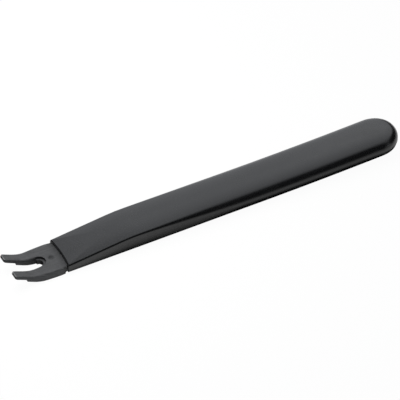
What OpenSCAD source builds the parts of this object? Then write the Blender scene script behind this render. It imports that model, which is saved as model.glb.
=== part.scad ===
// Trim removal tool: a forged fork with upturned tines, and a coated bar as its handle.
// X runs along the tool from the fork (negative) to the far end of the grip (positive).
// Each piece is drawn from the middle of the grip's front edge, on the underside, with Z up.
// The finished tool is set with its origin on the underside, halfway along its length.

/* [Grip] */
// Length of the grip, from its front edge to its far end
grip_len = 215.1; // [150:0.5:300]
// Width of the grip at its front edge
grip_front_w = 23.8; // [22:0.1:30]
// Width of the grip behind its swell
grip_end_w = 27.1; // [24:0.1:34]
// Distance from the front edge to where the grip starts to swell
swell_from = 32; // [20:1:60]
// Distance from the front edge to where the grip has its full width and roundness
swell_to = 122; // [90:1:150]
// Thickness of the grip beside its long edges, behind its ramp
grip_t = 10.2; // [9.4:0.1:16]
// Thickness that the grip gains over its swell
swell_t = 0.3; // [0:0.1:3]
// Thickness of the grip at its front edge
grip_front_t = 5.5; // [5:0.1:7]
// Length of the ramp on top, from the front edge to full thickness
ramp_len = 40; // [20:1:70]
// Half the length over which the ramp blends into the level top
ramp_blend = 5; // [1:0.5:15]
// Radius of the long edges at the front of the grip
edge_r_front = 1.1; // [0.9:0.1:2]
// Radius of the upper long edges behind the swell
top_r_end = 4.9; // [1.2:0.1:5.8]
// Radius of the lower long edges behind the swell
low_r_end = 4.4; // [1.2:0.1:5.2]
// Radius of the front corners, seen from above
front_corner_r = 0.4; // [0.3:0.1:1.5]
// Radius of the rolled upper front edge, along the grip
lip_r = 1; // [0.3:0.1:1.5]
// Slope of the crowned top beside its long edges
crown_angle = 10; // [4:0.5:14]
// Length over which the crown fades in at the front
crown_run = 30; // [10:1:40]
// Length of the rounded far end, seen from above
end_len = 15; // [8:0.5:20]
// Squareness of the far end seen from above, where 2 is an ellipse
end_square = 2.1; // [1.6:0.1:4]
// Length of the flat underside, from the front edge
flat_len = 110; // [60:1:140]
// Rise of the far end above the flat underside
end_lift = 2.4; // [0:0.1:5]
// Depth of the shallow curve in the front edge
front_sag = 0.8; // [0:0.1:2]

/* [Coat] */
// Thickness of the coat over the bar
coat = 1.1; // [0.8:0.05:1.5]
// Thickness of the coat over the far end of the bar
end_cover = 3; // [2.5:0.1:6]
// Least radius of the bar's edges under the coat
bar_edge_r = 0.4; // [0.3:0.1:0.8]
// Gap between the coat and the bar on every side
bond_gap = 0.05; // [0.02:0.01:0.1]

/* [Fork] */
// Reach of the fork ahead of the grip
fork_reach = 31.5; // [28:0.5:50]
// Length of bare neck between the grip and the step under the head
neck_len = 1.6; // [1.4:0.1:4]
// Step from the side of the grip in to the side of the neck
neck_step = 0.4; // [0.3:0.1:0.8]
// Length of the step under the head
shoulder_ramp = 0.3; // [0.3:0.1:0.9]
// Width of the head at its widest
head_w = 23.7; // [22:0.1:28]
// Width across the tips of the tines
tip_w = 21.2; // [19:0.1:24]
// Distance from the grip to the widest place of the head
wide_at = 4.5; // [3.5:0.5:9]
// Distance from the grip to where the top starts to bend up
bend_at = 16; // [14:0.5:20]
// Radius of the bend on top
bend_r = 15; // [8:0.5:20]
// Angle of the tines above the level
bend_angle = 24.2; // [10:0.2:30]
// Radius of the bend under the tines
under_r = 20; // [12:0.5:24]
// Thickness of the tines behind their thin tips
tine_t = 3; // [2.6:0.1:3.6]
// Thickness of the thin tips
tip_t = 1.8; // [1.6:0.1:2.4]
// Length of the thin tips
tip_len = 6.8; // [4:0.1:8.5]
// Length of the slope up to the thin tips
tip_ramp = 0.6; // [0.4:0.1:2]
// Radius of the upper edges of the fork behind its thin tips
fork_edge_r = 1; // [0.5:0.1:1.2]
// Radius of the upper edges at the tips
tip_edge_r = 0.4; // [0.2:0.1:0.8]
// Radius of the lower edges of the fork
fork_low_r = 0.25; // [0.1:0.05:0.5]
// Draft of the forged sides, as the difference from underside to top
side_draft = 0.4; // [0:0.05:0.5]
// Radius of the tine corners, seen from above
tip_corner_r = 1.3; // [1.3:0.1:2]

/* [Slot] */
// Width of the slot between the tines, beside its root
slot_w = 6.1; // [5.2:0.1:7]
// Width of the round root of the slot
root_w = 4.4; // [4.2:0.1:5.1]
// Angle at which each side of the slot flares towards its mouth
slot_flare = 4.5; // [0:0.5:7]
// Distance from the grip to the middle of the round root
slot_at = 12.4; // [11.5:0.1:14.5]
// Radius of the round recess at the root of the slot
recess_r = 4; // [3.6:0.1:4.4]
// Depth of the recess
recess_depth = 1.4; // [0.8:0.1:2]
// Diameter of the round test mark behind the slot
mark_d = 3.2; // [1:0.1:4]
// Depth of the test mark
mark_depth = 0.45; // [0.1:0.05:0.6]
// Distance from the grip to the middle of the test mark
mark_at = 5; // [3.8:0.1:6]

/* [Hidden] */

// Ends and levels that the pieces share
x_tip = -fork_reach;
x_slot = -slot_at;
x_middle = (grip_len + x_tip) / 2;
neck_relief = 0.1;
neck_low = coat + neck_relief;
neck_w = grip_front_w - 2 * neck_step;
stub_w = grip_front_w - 2 * neck_low;
head_top = grip_front_t - neck_low;
tang_front = 1;
stub_end = 4;
stub_nose = 1;
shoulder_clear = 0.1;
lip_run = 0.4;
front_clear = 1;
side_from = 1.2 * (tang_front + front_sag + lip_r + front_corner_r);

// Underside of the tines: a line parallel to their top, blended into the level underside
bend_end = bend_at + bend_r * sin(bend_angle);
tine_drop = head_top + bend_r * (1 - cos(bend_angle)) - tine_t / cos(bend_angle);
under_corner = bend_end - tine_drop / tan(bend_angle);
under_at = under_corner - under_r * tan(bend_angle / 2);
tip_step = (tine_t - tip_t) / cos(bend_angle);
mark_r = (mark_d * mark_d / 4 + mark_depth * mark_depth) / (2 * mark_depth);
ramp_slope = (grip_t - grip_front_t) / ramp_len;
crown_power = 3;
crown_steps = 5;

// Steps in which curves are drawn
front_steps = 6;
side_steps = 32;
end_steps = 14;
arc_steps = 10;
corner_steps = 4;
slot_steps = 9;
tip_steps = 3;
root_steps = 6;
shoulder_steps = 3;
recess_facets = 64;
mark_facets = 48;
low_angles = [0 : 30 : 90];
high_angles = [0 : 15 : 90];
edge_steps = 6;
edge_top = 90 - crown_angle;

// Smooth step from 0 to 1
function ease(t) = (1 - cos(180 * max(0, min(1, t)))) / 2;

// Points of half an outline, followed by the same points across Y = 0
function mirrored(half) = concat(half, [for (i = [len(half) - 2 : -1 : 1]) [half[i].x, -half[i].y, half[i].z]]);

// A face and its mirror image across Y = 0, in a ring of n points
function both_sides(face, n) = [face, [for (i = [len(face) - 1 : -1 : 0]) (n - face[i]) % n]];

// Faces that close a ring: a strip beside a slot, a fan at the front, and a strip across the rest
function cap_faces(n, slot_n, front) =
    let (start = front[len(front) - 1] + 1, last = n / 2)
    concat(
        [for (i = [0 : 1 : slot_n - 1]) each both_sides([i, i + 1, 2 * slot_n - i, 2 * slot_n + 1 - i], n)],
        [for (i = [0 : len(front) - 2]) each both_sides([front[i], front[i + 1], start], n)],
        [[0, start, n - start]],
        [for (i = [start : last - 2]) [i, i + 1, n - i - 1, n - i]],
        [[last - 1, last, last + 1]]
    );

// Solid stacked from rings, lowest first
module stacked(rings, slot_n, front) {
    n = len(rings[0]);
    top = n * (len(rings) - 1);
    caps = cap_faces(n, slot_n, front);
    walls = [
        for (k = [0 : n : top - n], i = [0 : n - 1])
            let (j = (i + 1) % n)
                each [[k + i, k + j, k + n + j], [k + i, k + n + j, k + n + i]]
    ];
    lid = [for (face = caps) [for (i = face) top + i]];
    base = [for (face = caps) [for (i = [len(face) - 1 : -1 : 0]) face[i]]];
    polyhedron([for (ring = rings) each ring], concat(base, walls, lid));
}

// Share of the swell that is reached
function swell(x) = ease((x - swell_from) / (swell_to - swell_from));

// Height of the ramp behind the front edge
function ramp_height(x) =
    x <= ramp_len - ramp_blend ? grip_front_t + ramp_slope * x :
    x >= ramp_len + ramp_blend ? grip_t :
    grip_t - ramp_slope * pow(ramp_len + ramp_blend - x, 2) / (4 * ramp_blend);

// Height of the long edges of the grip's top above its underside
function grip_height(x) = ramp_height(x) + swell_t * swell(x);

// Rise of the underside towards the far end
function lift(x) = end_lift * pow(max(0, x - flat_len) / (grip_len - flat_len), 2);

// Radius of the long edges that end with radius r, on a form that lies c inside the grip
function edge_r(x, c, r) = max(bar_edge_r, edge_r_front + (r - edge_r_front) * swell(x) - c);

// Half the width of a form that lies c inside the grip
function half_w(x, c) = (grip_front_w + (grip_end_w - grip_front_w) * swell(x)) / 2 - c;

// Half the width of the crowned top, between the curves of the long edges
function crown_w(x, c) = half_w(x, c) - (1 - cos(edge_top)) * edge_r(x, c, top_r_end);

// Height of the crown, which leaves the edge curves at their own slope
function crown_h(x, c) = crown_w(x, c) * tan(crown_angle) / crown_power;

// Plan of half a ring: drawn in by inset times the edge radius, then to a share of its width
function handle_plan(c, front, sag, lip, end, inset, r, share) =
    let (
        w = half_w(front, c),
        w_front = w - inset * edge_r(front, c, r) - front_corner_r,
        back = (1 - share) * crown_run,
        x_front = front + inset * lip + back,
        x_corner = x_front + sag * (1 - pow(share * w_front / w, 2)),
        from = side_from + back,
        x_end = grip_len - end_len,
        d_end = inset * edge_r(x_end, c, r),
        reach = end - x_end - d_end,
        w_end = half_w(x_end, c) - d_end
    )
    concat(
        [for (i = [0 : front_steps])
            let (y = share * w_front * i / front_steps)
                [x_front + sag * (1 - pow(y / w, 2)), y]],
        [for (i = [1 : corner_steps])
            let (angle = 90 * i / corner_steps)
                [x_corner + front_corner_r * (1 - cos(angle)), share * (w_front + front_corner_r * sin(angle))]],
        [for (i = [0 : side_steps])
            let (x = from + (x_end - from) * i / side_steps)
                [x, share * (half_w(x, c) - inset * edge_r(x, c, r))]],
        [for (i = [1 : end_steps])
            let (angle = 90 * i / end_steps, bulge = 2 / end_square)
                [x_end + share * reach * pow(sin(angle), bulge), share * w_end * pow(cos(angle), bulge)]]
    );

// Ring at angle a of the lower edge curve
function handle_low(c, front, sag, end, a) =
    mirrored([for (p = handle_plan(c, front, sag, 0, end, 1 - sin(a), low_r_end, 1))
        [p.x, p.y, lift(p.x) + c + (1 - cos(a)) * edge_r(p.x, c, low_r_end)]]);

// Ring at angle a of the upper edge curve, or on the crown where share is under 1
function handle_high(c, front, sag, lip, end, a, share) =
    mirrored([for (p = handle_plan(c, front, sag, lip, end, 1 - cos(a), top_r_end, share))
        [p.x, p.y, lift(p.x) + grip_height(p.x) - c
            + (1 - pow(share, crown_power)) * crown_h(p.x, c)
            - (sin(edge_top) - sin(a)) * edge_r(p.x, c, top_r_end)]]);

// The handle's form, c inside the grip, between two ends
module handle_form(c, front, sag, lip, end) {
    low = [for (a = low_angles) handle_low(c, front, sag, end, a)];
    high = [for (i = [0 : edge_steps]) handle_high(c, front, sag, lip, end, edge_top * i / edge_steps, 1)];
    crown = [for (i = [crown_steps - 1 : -1 : 1]) handle_high(c, front, sag, lip, end, edge_top, i / crown_steps)];
    stacked(concat(low, high, crown), 0, [for (i = [0 : front_steps]) i]);
}

// Rise of a bend that starts at a distance ahead of the grip
function bend(ahead, start, r) =
    let (run = ahead - start, arc_run = r * sin(bend_angle))
    run <= 0 ? 0 :
    run < arc_run ? r - sqrt(r * r - run * run) :
    r * (1 - cos(bend_angle)) + (run - arc_run) * tan(bend_angle);

function fork_top(x) = head_top + bend(-x, bend_at, bend_r);

// Underside of the fork, with the thin tips and the step up to the neck
function fork_low(x) =
    bend(-x, under_at, under_r)
    + tip_step * ease((x_tip + tip_len - x) / tip_ramp + 0.5)
    + neck_low * ease((x + neck_len) / shoulder_ramp);

// Half the width of the head
function fork_side(x) =
    x < -wide_at ? tip_w / 2 + (head_w - tip_w) / 2 * ease((x - x_tip) / (fork_reach - wide_at)) :
    x <= -shoulder_clear ? neck_w / 2 + (head_w - neck_w) / 2 * ease(-x / wide_at) :
    stub_w / 2;

// Half the width of the slot, drawn in by d
function slot_side(x, d) = (slot_w / 2 + d) / cos(slot_flare) + (x_slot - x) * tan(slot_flare);

// Radius of the fork's upper edges, which are crisp at the tips
function fork_r(x) = tip_edge_r + (fork_edge_r - tip_edge_r) * ease((x - x_tip - tip_corner_r) / tip_len);

// Distance by which a ring of the fork is drawn in at angle a of its edge curve
function fork_in(x, a, high) = high ? side_draft + (1 - cos(a)) * fork_r(x) : (1 - sin(a)) * fork_low_r;

// Height of the same ring
function fork_z(x, a, high) =
    high ? fork_top(x) - (1 - sin(a)) * fork_r(x) : fork_low(x) + (1 - cos(a)) * fork_low_r;

// Half of a ring of the fork: the slot's side, round the tip, and back along the outside
function fork_half(a, high) =
    let (
        root = root_w / 2 + fork_in(x_slot, a, high),
        corner = x_tip + tip_corner_r,
        corner_y = slot_side(corner, 0) + tip_corner_r,
        outer_y = fork_side(corner) - tip_corner_r,
        r = tip_corner_r - fork_in(x_tip, a, high),
        x_from = x_slot - lip_run,
        x_step = x_tip + tip_len + tip_ramp / 2,
        x_thin = x_step - tip_ramp,
        along = concat(
            [for (i = [0 : slot_steps]) x_from + (x_step - x_from) * i / slot_steps],
            [for (i = [0 : tip_steps - 1]) x_thin + (corner - x_thin) * i / tip_steps]
        ),
        inner = concat(
            [for (i = [0 : arc_steps])
                let (angle = 90 * i / arc_steps)
                    [x_slot + root * cos(angle), root * sin(angle)]],
            [for (x = along) [x, slot_side(x, fork_in(x, a, high))]],
            [for (i = [0 : corner_steps])
                let (angle = 90 * i / corner_steps)
                    [corner - r * sin(angle), corner_y - r * cos(angle)]]
        ),
        outer = [for (i = [len(inner) - 1 : -1 : 0])
            let (p = inner[i])
                [p.x, p.x <= corner ? outer_y + corner_y - p.y : fork_side(p.x) - fork_in(p.x, a, high)]],
        x_root = x_slot + root,
        back = concat(
            [for (i = [1 : root_steps]) x_root + (-neck_len - x_root) * i / root_steps],
            [for (i = [1 : shoulder_steps]) -neck_len + shoulder_ramp * i / shoulder_steps],
            [-shoulder_clear, 0, stub_end]
        ),
        sides = [for (x = back) [x, fork_side(x) - fork_in(x, a, high)]],
        plan = concat(inner, outer, sides, [[stub_end + stub_nose, 0]])
    )
    [for (p = plan) [p.x, p.y, fork_z(p.x, a, high)]];

// The forked head, with a stub that runs into the tang
module fork_form() {
    low = [for (a = low_angles) mirrored(fork_half(a, false))];
    high = [for (a = high_angles) mirrored(fork_half(a, true))];
    slot_n = arc_steps + 1 + slot_steps + tip_steps + corner_steps + 1;
    stacked(concat(low, high), slot_n, [0, 2 * slot_n + 1]);
}

// Round recess at the root of the slot, open at the top
module slot_recess() {
    translate([x_slot, 0, head_top - recess_depth])
        cylinder(r = recess_r, h = 2 * recess_depth, $fn = recess_facets);
}

// Shallow round test mark on top of the head
module test_mark() {
    translate([-mark_at, 0, head_top - mark_depth + mark_r])
        sphere(r = mark_r, $fn = mark_facets);
}

// The forging: head, neck and tang
module fork_bar() {
    color("dimgray") {
        difference() {
            fork_form();
            slot_recess();
            test_mark();
        }
        handle_form(coat, tang_front, 0, 0, grip_len - end_cover);
    }
}

// The coat, hollow for the tang
module grip_sleeve() {
    color([0.13, 0.13, 0.14])
        difference() {
            handle_form(0, 0, front_sag, lip_r, grip_len);
            handle_form(coat - bond_gap, -front_clear, 0, 0, grip_len - end_cover + bond_gap);
        }
}

// Sets a piece with the origin halfway along the tool
module placed() {
    translate([-x_middle, 0, 0])
        children();
}

placed() fork_bar();
placed() grip_sleeve();
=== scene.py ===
# %% [markdown]
# # A trim removal tool
# This lesson dresses a finished solid model for a picture. The tool is a steel bar, forged into
# a fork at one end, with the rest of the bar dipped in soft black plastic. Both solids already
# have their true shape, so the lesson is about three things: clean shading on a mesh that came
# from a solid, two dark finishes that must not look alike, and the light that tells them apart.

# %% Load the solids
import math
import bpy
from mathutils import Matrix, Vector


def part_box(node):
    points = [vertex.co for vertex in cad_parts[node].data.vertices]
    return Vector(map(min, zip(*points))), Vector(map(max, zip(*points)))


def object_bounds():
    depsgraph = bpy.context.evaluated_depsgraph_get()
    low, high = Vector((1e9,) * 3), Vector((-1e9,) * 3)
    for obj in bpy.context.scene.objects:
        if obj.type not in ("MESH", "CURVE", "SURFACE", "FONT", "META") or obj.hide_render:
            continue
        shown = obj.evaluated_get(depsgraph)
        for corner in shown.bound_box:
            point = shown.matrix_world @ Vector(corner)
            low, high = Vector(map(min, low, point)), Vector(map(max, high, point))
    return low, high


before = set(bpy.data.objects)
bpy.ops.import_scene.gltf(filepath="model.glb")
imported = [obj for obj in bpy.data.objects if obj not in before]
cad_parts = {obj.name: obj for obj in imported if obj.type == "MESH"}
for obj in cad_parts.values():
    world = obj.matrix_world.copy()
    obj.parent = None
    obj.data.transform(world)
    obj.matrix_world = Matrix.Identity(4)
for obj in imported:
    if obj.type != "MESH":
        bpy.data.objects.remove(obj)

cad_low, cad_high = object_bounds()
print("solids:", sorted(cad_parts), "from", tuple(cad_low), "to", tuple(cad_high))

# %% [markdown]
# ## The camera
# Start with the camera, because every finish is judged through it. A product picture like this
# is taken from far away with a long lens, so the two ends of the tool look almost the same size.
# The camera could be set by eye in the viewport. Here it is placed by an azimuth, an elevation and
# a distance from one point of the tool, because those can be fitted to a picture. The small lens
# shift moves the tool in the picture without turning the camera.

# %% Place the camera
MM = 0.001
VIEW_AZIMUTH = -27.584
VIEW_ELEVATION = 43.544
VIEW_DISTANCE = 2.02718
LOOK_AT = Vector((-8.365 * MM, 0, 4.6075 * MM))
IMAGE_SIDE_PX = 400
FOCAL_PX = 3595.04
SENSOR_MM = 36
AIM_OFFSET_PX = (8.095, 6.045)
CLIP_NEAR = 0.1
CLIP_FAR = 100


def towards(azimuth, elevation):
    """The direction from the tool to an azimuth and an elevation, both in degrees."""
    turned = math.radians(azimuth)
    raised = math.radians(elevation)
    return Vector((
        math.sin(turned) * math.cos(raised),
        -math.cos(turned) * math.cos(raised),
        math.sin(raised),
    ))


lens = bpy.data.cameras.new("camera")
lens.sensor_width = SENSOR_MM
lens.lens = FOCAL_PX * SENSOR_MM / IMAGE_SIDE_PX
lens.shift_x = AIM_OFFSET_PX[0] / IMAGE_SIDE_PX
lens.shift_y = AIM_OFFSET_PX[1] / IMAGE_SIDE_PX
lens.clip_start = CLIP_NEAR
lens.clip_end = CLIP_FAR
camera = bpy.data.objects.new("camera", lens)
to_camera = towards(VIEW_AZIMUTH, VIEW_ELEVATION)
camera.location = LOOK_AT + to_camera * VIEW_DISTANCE
camera.rotation_mode = "QUATERNION"
camera.rotation_quaternion = (-to_camera).to_track_quat("-Z", "Y")
bpy.context.scene.collection.objects.link(camera)
bpy.context.scene.camera = camera
print("lens", round(lens.lens, 1), "mm at", tuple(round(x, 3) for x in camera.location))

# %% [markdown]
# ## Clean shading on the solids
# A mesh that comes from a solid has one flat normal for each facet, so a round edge would show
# as a row of stripes. Editing the mesh would break its tie to the solid. A modifier leaves the
# mesh alone: this one joins the split points, shades everything smooth, and marks as sharp only
# the edges where the surface really turns. A second modifier weights the normals by face area,
# so that the wide flat faces stay flat right up to their rounded edges.

# %% Nodes that smooth all but the sharp edges
MERGE_WITHIN = 0.002 * MM
SHARP_FROM = math.radians(33)


def add_node(tree, kind, links=(), **settings):
    """A new node, with its settings and its inputs given by name or number."""
    node = tree.nodes.new(kind)
    for name, value in settings.items():
        setattr(node, name, value)
    for socket, value in links:
        if isinstance(value, bpy.types.NodeSocket):
            tree.links.new(value, node.inputs[socket])
        else:
            node.inputs[socket].default_value = value
    return node


smooth = bpy.data.node_groups.new("smooth_but_sharp", "GeometryNodeTree")
smooth.interface.new_socket("Geometry", in_out="INPUT", socket_type="NodeSocketGeometry")
smooth.interface.new_socket("Geometry", in_out="OUTPUT", socket_type="NodeSocketGeometry")
start = add_node(smooth, "NodeGroupInput")
plain = add_node(
    smooth, "GeometryNodeRemoveAttribute",
    [(0, start.outputs[0]), ("Name", "custom_normal")],
)
joined = add_node(
    smooth, "GeometryNodeMergeByDistance",
    [(0, plain.outputs[0]), ("Distance", MERGE_WITHIN)],
)
faces = add_node(smooth, "GeometryNodeSetShadeSmooth", [(0, joined.outputs[0])], domain="FACE")
turn = add_node(smooth, "GeometryNodeInputMeshEdgeAngle")
sharp = add_node(
    smooth, "FunctionNodeCompare",
    [(0, turn.outputs[0]), (1, SHARP_FROM)],
    operation="GREATER_THAN",
)
edges = add_node(
    smooth, "GeometryNodeSetShadeSmooth",
    [(0, faces.outputs[0]), ("Selection", sharp.outputs[0]), ("Shade Smooth", False)],
    domain="EDGE",
)
add_node(smooth, "NodeGroupOutput", [(0, edges.outputs[0])])
print(smooth.name, "has", len(smooth.nodes), "nodes")

# %% Smooth normals by modifiers
AREA_WEIGHT = 80

for name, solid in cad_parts.items():
    solid.modifiers.new("smooth_but_sharp", "NODES").node_group = smooth
    weighted = solid.modifiers.new("weighted_normals", "WEIGHTED_NORMAL")
    weighted.keep_sharp = True
    weighted.weight = AREA_WEIGHT
    print(name, "has", len(solid.data.polygons), "faces and", len(solid.modifiers), "modifiers")

# %% [markdown]
# ## Helpers for the finishes
# Both finishes are grown from noise that is read in the tool's own coordinates, in metres. An image
# could give the same marks, but noise needs no unwrapping and has the right scale by itself. One
# helper starts a material with its shader and its coordinates. Another turns noise into a range of
# values, which can then drive a colour, a roughness or a height.

# %% Helpers for materials
# Noise seldom leaves this part of its range from 0 to 1
NOISE_SPREAD = (0.3, 0.7)


def start_finish(name):
    """A new material: its tree, its shader and the tool's own coordinates."""
    material = bpy.data.materials.new(name)
    material.use_nodes = True
    tree = material.node_tree
    shader = tree.nodes["Principled BSDF"]
    place = add_node(tree, "ShaderNodeTexCoord").outputs["Object"]
    return material, tree, shader, place


def noise(tree, place, size, detail, stretch=(1, 1, 1)):
    """Noise with features of about the given size, drawn out along the axes by stretch."""
    shrink = [1 / s for s in stretch]
    scaled = add_node(tree, "ShaderNodeVectorMath", [(0, place), (1, shrink)], operation="MULTIPLY")
    made = add_node(
        tree, "ShaderNodeTexNoise",
        [("Vector", scaled.outputs[0]), ("Scale", 1 / size), ("Detail", detail)],
    )
    return made.outputs["Fac"]


def ranged(tree, value, low, high, source=NOISE_SPREAD):
    """The value, taken from its source range to a range of low to high."""
    source_low, source_high = source
    made = add_node(
        tree, "ShaderNodeMapRange",
        [
            ("Value", value),
            ("From Min", source_low), ("From Max", source_high),
            ("To Min", low), ("To Max", high),
        ],
    )
    return made.outputs["Result"]


def between(tree, share, first, second):
    """A colour part of the way from the first to the second."""
    made = add_node(tree, "ShaderNodeMix", [(0, share), (6, first), (7, second)], data_type="RGBA")
    return made.outputs[2]


def bumps(tree, shader, layers):
    """Stacks bump layers, each a height and its depth in metres, into the shader's normal."""
    normal = None
    for height, depth in layers:
        links = [("Height", height), ("Distance", depth), ("Strength", 1.0)]
        if normal is not None:
            links.append(("Normal", normal))
        normal = add_node(tree, "ShaderNodeBump", links).outputs[0]
    tree.links.new(normal, shader.inputs["Normal"])


def dress(node, material):
    """Gives a solid its finish."""
    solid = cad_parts[node]
    solid.data.materials.clear()
    solid.data.materials.append(material)
    print(node, "wears", material.name, "with", len(material.node_tree.nodes), "nodes")
    return solid


# %% [markdown]
# ## The dipped plastic
# The grip is made by dipping the warm bar in liquid plastic. It sets with a satin skin, so black
# that almost all the light we see from it is reflected, not scattered. A dark grey paint would stay
# grey where the real grip turns black, so the base is close to zero and the roughness does the work.
# Two soft bumps give the skin of a dipped coat: a slow waviness where the liquid ran, and a fine
# peel like that of an orange.

# %% Finish of the grip
COAT_BASE = (0.0030, 0.0031, 0.0034, 1)
COAT_DUSTY = (0.0052, 0.0053, 0.0057, 1)
COAT_IOR = 1.5
COAT_ROUGHNESS = (0.22, 0.28)
DUST_SIZE = 14 * MM
DUST_STRETCH = (3, 1, 1)
SHEEN_SIZE = 5 * MM
WAVE_SIZE = 22 * MM
WAVE_STRETCH = (2.5, 1, 1)
WAVE_DEPTH = 0.06 * MM
PEEL_SIZE = 1.1 * MM
PEEL_DEPTH = 0.004 * MM

coat, tree, shader, place = start_finish("dipped_plastic")
shader.inputs["IOR"].default_value = COAT_IOR
dust = noise(tree, place, DUST_SIZE, detail=4, stretch=DUST_STRETCH)
coat_colour = between(tree, ranged(tree, dust, 0, 1), COAT_BASE, COAT_DUSTY)
tree.links.new(coat_colour, shader.inputs["Base Color"])
sheen = noise(tree, place, SHEEN_SIZE, detail=3)
tree.links.new(ranged(tree, sheen, *COAT_ROUGHNESS), shader.inputs["Roughness"])
waves = noise(tree, place, WAVE_SIZE, detail=1, stretch=WAVE_STRETCH)
peel = noise(tree, place, PEEL_SIZE, detail=1)
bumps(tree, shader, [(waves, WAVE_DEPTH), (peel, PEEL_DEPTH)])
grip = dress("grip_sleeve", coat)

# %% [markdown]
# ## The blackened steel
# The fork is forged, ground and then blackened in a hot bath. A metallic shader would mirror the
# room like bare steel. The oxide scatters light instead, so the fork looks a little paler than the
# plastic although it is black too. A plain shader with a low IOR keeps its mirroring down. Two
# noises make the skin: long thin streaks are the grinding lines, and short grain is the forging.

# %% Streaks and grain of the steel
STEEL_IOR = 1.36
STEEL_ROUGHNESS = (0.5, 0.64)
STREAK_WIDTH = 0.75 * MM
STREAK_STRETCH = (18, 1, 1)
STREAK_SHARE = 0.65
STREAK_DEPTH = 0.016 * MM
GRAIN_SIZE = 0.9 * MM
GRAIN_DEPTH = 0.010 * MM


def maths(tree, operation, first, second):
    """One step of arithmetic on two values."""
    return add_node(tree, "ShaderNodeMath", [(0, first), (1, second)], operation=operation).outputs[0]


steel, tree, shader, place = start_finish("blackened_steel")
shader.inputs["IOR"].default_value = STEEL_IOR
streaks = noise(tree, place, STREAK_WIDTH, detail=3, stretch=STREAK_STRETCH)
grain = noise(tree, place, GRAIN_SIZE, detail=3)
streaks_part = maths(tree, "MULTIPLY", streaks, STREAK_SHARE)
grain_part = maths(tree, "MULTIPLY", grain, 1 - STREAK_SHARE)
skin = maths(tree, "ADD", streaks_part, grain_part)
tree.links.new(ranged(tree, skin, *STEEL_ROUGHNESS), shader.inputs["Roughness"])
bumps(tree, shader, [(streaks, STREAK_DEPTH), (grain, GRAIN_DEPTH)])
print("streaks", STREAK_WIDTH, "m wide and grain of", GRAIN_SIZE, "m")

# %% [markdown]
# ## Paler places on the steel
# The tines beyond the bend were ground most, so they are paler. They are also painted paler for
# the light that their upturned tops catch, so that paleness is partly finish and partly painted
# light. The outer sides of the fork are painted paler for the light that the white floor bounces
# onto them. A mask could be painted by hand, but a rule follows the shape. The tines are found by
# their place along X. An outer side is found from its place and its normal: both point the same
# way across the tool, so their product is positive there.

# %% Colour of the steel
STEEL_BASE = (0.027, 0.0274, 0.0282, 1)
STEEL_PALE = (0.06, 0.0607, 0.062, 1)
SKIN_SPREAD = (0.33, 0.67)
SKIN_PALER = 0.8
TINE_LENGTH = 16.3 * MM
BEND_FADE = 5 * MM
TINES_PALER = 0.3
OUTER_FROM = 4 * MM
OUTER_UNTIL = 9 * MM
SIDES_PALER = 0.6

axes = add_node(tree, "ShaderNodeSeparateXYZ", [(0, place)]).outputs
surface = add_node(tree, "ShaderNodeNewGeometry").outputs
normal = add_node(tree, "ShaderNodeSeparateXYZ", [(0, surface["Normal"])]).outputs
bend_x = cad_low.x + TINE_LENGTH
# Partly painted light: the tines are ground paler, and also painted paler for the light they catch
on_tines = ranged(tree, axes["X"], TINES_PALER, 0, source=(bend_x - BEND_FADE, bend_x))
# Painted light: the outer sides are painted paler for the light that the floor bounces onto them
outward = maths(tree, "MULTIPLY", axes["Y"], normal["Y"])
painted_bounce_on_sides = ranged(tree, outward, 0, SIDES_PALER, source=(OUTER_FROM, OUTER_UNTIL))
paleness = ranged(tree, skin, 0, SKIN_PALER, source=SKIN_SPREAD)
paleness = maths(tree, "ADD", paleness, maths(tree, "ADD", on_tines, painted_bounce_on_sides))
body_colour = between(tree, paleness, STEEL_BASE, STEEL_PALE)
print("paler in front of x =", round(bend_x, 4))

# %% [markdown]
# ## Painted shade on the steel
# The steel is painted darker where shade falls. A mask on an image could do this too, but nodes
# find each place. A painted shadow lies beside the edge of the coat, and painted shade in the small
# dent of the hardness test; there a distance gives the place, and the grain breaks up the shade.
# In the corners of the slot Ambient Occlusion gives the painted shade, and on the blunt ends of
# the tines, which face away from the light, the normal does.

# %% Painted shade in the corners and by the coat
# The colour of the painted shade
STEEL_PAINTED_SHADE = (0.008, 0.0081, 0.0083, 1)
COAT_SHADOW_WIDTH = 3.5 * MM
DENT_BEFORE_COAT = 5 * MM
DENT_CORE = 1.3 * MM
DENT_RIM = 2.6 * MM
SHADE_BROKEN = (0.35, 0.85)
CORNER_REACH = 12 * MM
CORNER_SAMPLES = 8
CORNER_OPENNESS = (0.5, 0.92)
CORNER_DARKER = 0.15
END_NORMAL_X = (-0.8, -0.4)
FLATTEN = (1, 1, 0)

coat_edge_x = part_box("grip_sleeve")[0].x
# Painted shadow beside the edge of the coat
painted_shadow_by_coat = ranged(tree, axes["X"], 0, 1, source=(coat_edge_x - COAT_SHADOW_WIDTH, coat_edge_x))
dent_place = (coat_edge_x - DENT_BEFORE_COAT, 0, 0)
from_above = add_node(tree, "ShaderNodeVectorMath", [(0, place), (1, FLATTEN)], operation="MULTIPLY")
to_dent = add_node(
    tree, "ShaderNodeVectorMath",
    [(0, from_above.outputs[0]), (1, dent_place)],
    operation="DISTANCE",
)
# Painted shade inside the small dent of the hardness test
painted_shade_in_dent = ranged(tree, to_dent.outputs["Value"], 1, 0, source=(DENT_CORE, DENT_RIM))
openness = add_node(
    tree, "ShaderNodeAmbientOcclusion",
    [("Distance", CORNER_REACH)],
    samples=CORNER_SAMPLES, only_local=True,
)
# Painted shade in the corners of the slot, from Ambient Occlusion
painted_shade_in_corners = ranged(tree, openness.outputs["AO"], CORNER_DARKER, 0, source=CORNER_OPENNESS)
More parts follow.
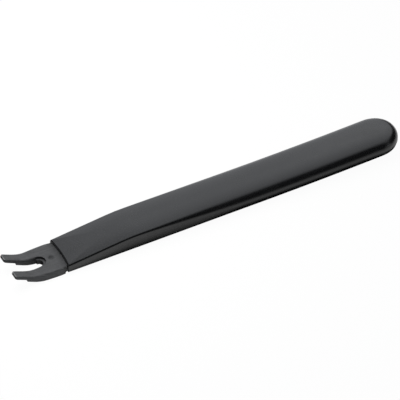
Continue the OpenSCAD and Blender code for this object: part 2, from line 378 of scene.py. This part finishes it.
# Painted shade on the blunt ends of the tines, which face away from the light
painted_shade_on_ends = ranged(tree, normal["X"], 1, 0, source=END_NORMAL_X)
painted_shade = maths(tree, "MAXIMUM", painted_shadow_by_coat, painted_shade_in_dent)
painted_shade = maths(tree, "MULTIPLY", painted_shade, ranged(tree, grain, *SHADE_BROKEN))
painted_shade = maths(tree, "MAXIMUM", painted_shade, maths(tree, "MAXIMUM", painted_shade_in_corners, painted_shade_on_ends))
painted_shade_colour = between(tree, painted_shade, body_colour, STEEL_PAINTED_SHADE)
print("painted shadow by the coat at x =", round(coat_edge_x, 4), "and the dent at x =", round(dent_place[0], 4))

# %% [markdown]
# ## Wear and a painted highlight on the tips
# At the tips it is the other way round: what slides under trim is rubbed bare. Pointiness is the
# usual way to find worn edges, because it is high where a mesh is convex. On these small blunt ends
# it finds too little, so a strip along X adds the rim. That rim is partly wear and partly a painted
# highlight, where the small chamfer at each end catches the light. Only what faces up gets the
# wear and the highlight.

# %% Worn edges and painted highlights on the rims
# Bare steel, the colour of the wear and of the painted highlight on the rims
STEEL_WEAR_AND_HIGHLIGHT = (0.24, 0.242, 0.245, 1)
CONVEX = (0.53, 0.62)
EDGES_WORN = 0.5
TIP_LENGTH = 4.3 * MM
TIP_FADE = 6 * MM
WEAR_BEHIND_TIPS = 0.35
RIM_FROM = 0.5 * MM
RIM_UNTIL = 1.1 * MM
UP_NORMAL_Z = (0.4, 0.8)
WEAR_BROKEN = (0.4, 1)

convex = ranged(tree, surface["Pointiness"], 0, EDGES_WORN, source=CONVEX)
tips_x = cad_low.x + TIP_LENGTH
at_tips = ranged(tree, axes["X"], 1, WEAR_BEHIND_TIPS, source=(tips_x, tips_x + TIP_FADE))
on_edges = maths(tree, "MULTIPLY", convex, at_tips)
# Partly wear, partly a painted highlight: a thin bright strip on the rim at the tips
painted_rim_highlight = ranged(tree, axes["X"], 1, 0, source=(cad_low.x + RIM_FROM, cad_low.x + RIM_UNTIL))
facing_up = ranged(tree, normal["Z"], 0, 1, source=UP_NORMAL_Z)
wear_and_highlight = maths(tree, "MULTIPLY", maths(tree, "MAXIMUM", on_edges, painted_rim_highlight), facing_up)
wear_and_highlight = maths(tree, "MULTIPLY", wear_and_highlight, ranged(tree, grain, *WEAR_BROKEN))
tree.links.new(between(tree, wear_and_highlight, painted_shade_colour, STEEL_WEAR_AND_HIGHLIGHT), shader.inputs["Base Color"])
fork = dress("fork_bar", steel)

# %% [markdown]
# ## The floor
# The tool lies on white paper. Lighting the paper until it is pure white would also flood the black
# tool with light. So Light Path tells the floor's material which rays are looking. To the camera,
# and in everything that mirrors, the floor glows. To the other rays it is matt paper, and a small
# share of that paper also shows through the glow, which keeps the shadow.

# %% Floor and the rays that look at it
FLOOR_SIDE = 30.0

bpy.ops.mesh.primitive_plane_add(size=FLOOR_SIDE, location=(0, 0, cad_low.z))
floor = bpy.context.active_object
floor.name = "floor"
white = bpy.data.materials.new("white_floor")
white.use_nodes = True
tree = white.node_tree
tree.nodes.clear()
rays = add_node(tree, "ShaderNodeLightPath").outputs
mirrored = maths(tree, "MAXIMUM", rays["Is Glossy Ray"], rays["Is Transmission Ray"])
looking = maths(tree, "MAXIMUM", rays["Is Camera Ray"], mirrored)
print("floor at", round(floor.location.z, 5))

# %% [markdown]
# ## The shadow in the mirrored floor
# In a mirror the shadow matters more: it is the dark line along the foot of the grip. A share of
# matt paper is too weak to give it. Ambient Occlusion finds where the tool is close to the floor,
# and the mirrored glow fades there. The shadow is narrow beside the thin front of the tool, wider
# beside the thick grip, and deepest beyond the middle. The glow also falls to half on the near
# side, which lies in the shade of the room's dark part.

# %% Shadow in the mirrored glow
SHADOW_REACH = 25 * MM
SHADOW_SAMPLES = 16
SHADOW_FROM = 0.58
DEEP_FROM = 0.72
NARROW_UNTIL = 0.68
WIDE_UNTIL = 0.90
NARROW_TO_X = -85 * MM
WIDE_FROM_X = -15 * MM
DEEP_FROM_X = 25 * MM
PAPER_SHADE = 0.5
PAPER_SHADE_FROM = -18 * MM
PAPER_SHADE_UNTIL = -60 * MM

nearness = add_node(
    tree, "ShaderNodeAmbientOcclusion",
    [("Distance", SHADOW_REACH)],
    samples=SHADOW_SAMPLES,
)
paper_place = add_node(tree, "ShaderNodeTexCoord").outputs["Object"]
paper_axes = add_node(tree, "ShaderNodeSeparateXYZ", [(0, paper_place)]).outputs
since = ranged(tree, paper_axes["X"], SHADOW_FROM, DEEP_FROM, source=(WIDE_FROM_X, DEEP_FROM_X))
until = ranged(tree, paper_axes["X"], NARROW_UNTIL, WIDE_UNTIL, source=(NARROW_TO_X, WIDE_FROM_X))
unshaded = ranged(tree, nearness.outputs["AO"], 0, 1, source=(since, until))
toned = ranged(tree, paper_axes["Y"], PAPER_SHADE, 1, source=(PAPER_SHADE_UNTIL, PAPER_SHADE_FROM))
mirrored_level = maths(tree, "MULTIPLY", unshaded, toned)
print("mirrored shadow within", SHADOW_REACH, "m of the tool")

# %% Paper and glow
FLOOR_COLOUR = (0.85, 0.85, 0.85, 1)
FLOOR_WHITE = (1, 1, 1, 1)
FLOOR_GLOW = 0.96

paper = add_node(tree, "ShaderNodeBsdfDiffuse", [("Color", FLOOR_COLOUR)])
glow_level = maths(tree, "MAXIMUM", rays["Is Camera Ray"], mirrored_level)
glow = add_node(tree, "ShaderNodeEmission", [("Color", FLOOR_WHITE), ("Strength", glow_level)])
glow_share = maths(tree, "MULTIPLY", looking, FLOOR_GLOW)
both = add_node(
    tree, "ShaderNodeMixShader",
    [(0, glow_share), (1, paper.outputs[0]), (2, glow.outputs[0])],
)
add_node(tree, "ShaderNodeOutputMaterial", [("Surface", both.outputs[0])])
floor.data.materials.append(white)
print("floor glows at a share of", FLOOR_GLOW, "with", len(tree.nodes), "nodes")

# %% [markdown]
# ## The room
# A black object shows little but what is around it, so the room is the light, and its dark parts
# matter as much as its pale ones. Studio people hang black cloths, called flags, for this. Planes
# could stand in for the cloths, but they would also cast shadows and show in other views. Here the
# world itself is pale and slightly cool, with four dark patches. The near one stands behind the
# camera: the top of the grip looks past it, while its rounded near edge turns to it and goes black.
# The left one darkens the tips of the fork, and the last two wrap the dark line round the far end.
# A pale patch then opens the near one on its left. From this side its light falls mainly on the
# walls of the fork, and from behind it gives the top of the grip something to mirror.
# A patch is the angle between a direction and the patch's middle, sent through a colour ramp.

# %% Level of the room round a patch
ROOM_PALE = 1.6


def patch_level(tree, direction, azimuth, elevation, stops):
    """The room's level as one patch gives it, from the angle to the patch's middle."""
    middle = towards(azimuth, elevation)
    facing = add_node(tree, "ShaderNodeVectorMath", [(0, direction), (1, middle)], operation="DOT_PRODUCT")
    angle = add_node(tree, "ShaderNodeMath", [(0, facing.outputs["Value"])], operation="ARCCOSINE")
    share_of_half_turn = maths(tree, "DIVIDE", angle.outputs[0], math.pi)
    fade = add_node(tree, "ShaderNodeValToRGB", [(0, share_of_half_turn)])
    marks = fade.color_ramp.elements
    while len(marks) < len(stops):
        marks.new(1)
    for mark, (degrees, grey) in zip(marks, stops):
        mark.position = math.radians(degrees) / math.pi
        mark.color = (grey, grey, grey, 1)
    print("patch at", round(azimuth), "degrees round and", elevation, "up")
    return maths(tree, "MULTIPLY", fade.outputs["Color"], ROOM_PALE)


# %% Room with dark patches
ROOM_COLOUR = (0.935, 0.96, 1.0, 1)
# The azimuth and elevation of the middle, then pairs of an angle from the middle and the level there
DARK_PATCHES = {
    "near": (VIEW_AZIMUTH, 30, ((55.5, 0.02), (67, 0.62), (88, 0.78), (102, 1.0))),
    "left": (-100, 30, ((44, 0.05), (66, 1.0))),
    "right": (85, 15, ((33, 0.03), (43, 1.0))),
    "end": (118, 0, ((25, 0.03), (36, 1.0))),
}
PALE_PATCH = (-48, 26, ((18, 0.4), (38, 0.0)))

room = bpy.data.worlds.new("room")
bpy.context.scene.world = room
room.use_nodes = True
tree = room.node_tree
tree.nodes.clear()
direction = add_node(tree, "ShaderNodeTexCoord").outputs["Generated"]
level = ROOM_PALE
for patch in DARK_PATCHES.values():
    level = maths(tree, "MINIMUM", level, patch_level(tree, direction, *patch))
level = maths(tree, "MAXIMUM", level, patch_level(tree, direction, *PALE_PATCH))
light = add_node(tree, "ShaderNodeBackground", [("Color", ROOM_COLOUR), ("Strength", level)])
add_node(tree, "ShaderNodeOutputWorld", [("Surface", light.outputs[0])])

# %% [markdown]
# ## Two small lamps
# The dull steel scatters light, so it needs a little more of it than the room gives. A paler room
# would lift the plastic as well. So a soft lamp hangs over the far side of the fork and points
# straight down. It is hidden from reflections, because its square would show in the plastic. The
# second lamp does the opposite: it is there to be mirrored, and lifts the top of the grip softly
# towards the far end. The plain view transform keeps colours as written.

# %% Lamps over the fork and the far end
FORK_LAMP_SIDE = 0.25
FORK_LAMP_AT = Vector((-0.105, 0.12, 0.24))
FORK_LAMP_WATTS = 1.08
END_LAMP_SIDE = 0.12
END_LAMP_AT = Vector((0.303, 0.315, 0.347))
END_LAMP_AIM = Vector((0.11, 0, 0.01))
END_LAMP_WATTS = 0.02


def soft_lamp(name, side, watts, place, aim):
    """A square lamp of the given side that points from its place to its aim."""
    data = bpy.data.lights.new(name, "AREA")
    data.shape = "SQUARE"
    data.size = side
    data.energy = watts
    lamp = bpy.data.objects.new(name, data)
    lamp.location = place
    lamp.rotation_mode = "QUATERNION"
    lamp.rotation_quaternion = (aim - place).to_track_quat("-Z", "Y")
    bpy.context.scene.collection.objects.link(lamp)
    print(name, "of", watts, "watts at", tuple(place))
    return lamp


under_fork_lamp = Vector((FORK_LAMP_AT.x, FORK_LAMP_AT.y, cad_low.z))
fork_lamp = soft_lamp("fork_lamp", FORK_LAMP_SIDE, FORK_LAMP_WATTS, FORK_LAMP_AT, under_fork_lamp)
fork_lamp.visible_glossy = False
soft_lamp("end_lamp", END_LAMP_SIDE, END_LAMP_WATTS, END_LAMP_AT, END_LAMP_AIM)
bpy.context.scene.view_settings.view_transform = "Standard"
